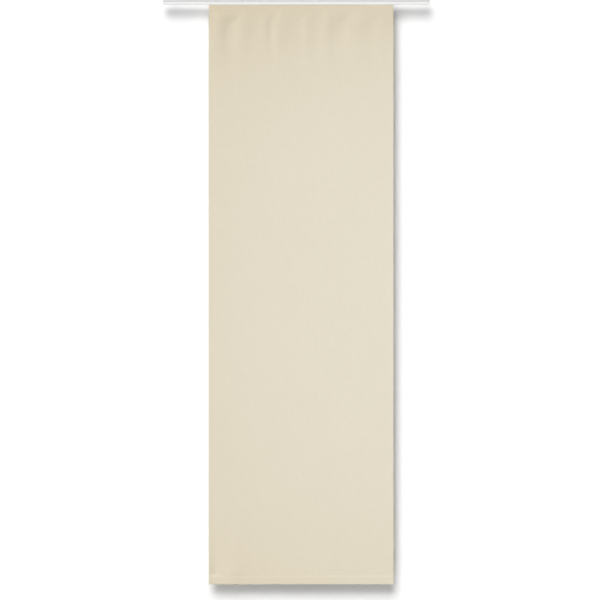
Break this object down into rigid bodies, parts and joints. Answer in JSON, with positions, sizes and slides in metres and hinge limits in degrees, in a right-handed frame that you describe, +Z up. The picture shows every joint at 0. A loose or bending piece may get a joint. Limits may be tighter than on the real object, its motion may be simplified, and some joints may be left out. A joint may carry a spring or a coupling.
{
  "type": "sliding panel curtain",
  "caption": "Flat cloth panel curtain with a weighted hem, hung by touch-and-close tape from a carriage that rolls along a slim ceiling track.",
  "frame": {"origin": "on the ceiling plane, at the middle of the track's length and depth, midway between the two clip screws", "axes": "+X along the track, to the right seen from the room; -Y towards the room, the side that is seen; +Z up"},
  "size_m": [0.866, 0.0209, 1.8978],
  "materials": {
    "panel_cloth": "plain woven beige polyester, matt, fine even weave",
    "track_coat": "white powder coat, satin, extrusion lines along the length",
    "carriage_coat": "white powder coat, satin",
    "bar_aluminium": "mill finish, drawn lines along the length",
    "cap_plastic": "moulded, fine grain",
    "truck_plastic": "moulded acetal, smooth",
    "wheel_plastic": "moulded nylon, smooth rim",
    "axle_steel": "drawn bright wire",
    "clip_steel": "zinc-plated spring steel",
    "hook_tape": "nylon hook side, self-adhesive",
    "loop_tape": "brushed nylon loop side, sewn on"
  },
  "bodies": {
    "track": {"track_rail": "track_coat", "track_end_cap_left": "cap_plastic", "track_end_cap_right": "cap_plastic", "ceiling_clip_left": "clip_steel", "ceiling_clip_right": "clip_steel"},
    "panel": {"carriage_profile": "carriage_coat", "carriage_end_cap_left": "cap_plastic", "carriage_end_cap_right": "cap_plastic", "hook_tape": "hook_tape", "loop_tape": "loop_tape", "fabric_panel": "panel_cloth", "weight_bar": "bar_aluminium", "weight_bar_plug_left": "cap_plastic", "weight_bar_plug_right": "cap_plastic", "truck_frame_1": "truck_plastic", "truck_frame_2": "truck_plastic", "truck_frame_3": "truck_plastic", "truck_frame_4": "truck_plastic"},
    "wheelset_1": {"axle_1": "axle_steel", "wheel_front_1": "wheel_plastic", "wheel_rear_1": "wheel_plastic"},
    "wheelset_2": {"axle_2": "axle_steel", "wheel_front_2": "wheel_plastic", "wheel_rear_2": "wheel_plastic"},
    "wheelset_3": {"axle_3": "axle_steel", "wheel_front_3": "wheel_plastic", "wheel_rear_3": "wheel_plastic"},
    "wheelset_4": {"axle_4": "axle_steel", "wheel_front_4": "wheel_plastic", "wheel_rear_4": "wheel_plastic"}
  },
  "joints": [
    {"name": "panel_slide", "type": "slide", "parent": "track", "child": "panel", "axis": [1, 0, 0], "range_m": [-0.1442, 0.1132]},
    {"name": "wheel_roll_1", "type": "hinge", "parent": "panel", "child": "wheelset_1", "pos_m": [-0.2725, 0, -0.01105], "axis": [0, 1, 0], "continuous": true},
    {"name": "wheel_roll_2", "type": "hinge", "parent": "panel", "child": "wheelset_2", "pos_m": [-0.0805, 0, -0.01105], "axis": [0, 1, 0], "continuous": true},
    {"name": "wheel_roll_3", "type": "hinge", "parent": "panel", "child": "wheelset_3", "pos_m": [0.1115, 0, -0.01105], "axis": [0, 1, 0], "continuous": true},
    {"name": "wheel_roll_4", "type": "hinge", "parent": "panel", "child": "wheelset_4", "pos_m": [0.3035, 0, -0.01105], "axis": [0, 1, 0], "continuous": true}
  ],
  "couplings": [
    {"joint": "wheel_roll_1", "follows": "panel_slide", "rad_per_m": 270.27},
    {"joint": "wheel_roll_2", "follows": "panel_slide", "rad_per_m": 270.27},
    {"joint": "wheel_roll_3", "follows": "panel_slide", "rad_per_m": 270.27},
    {"joint": "wheel_roll_4", "follows": "panel_slide", "rad_per_m": 270.27}
  ]
}
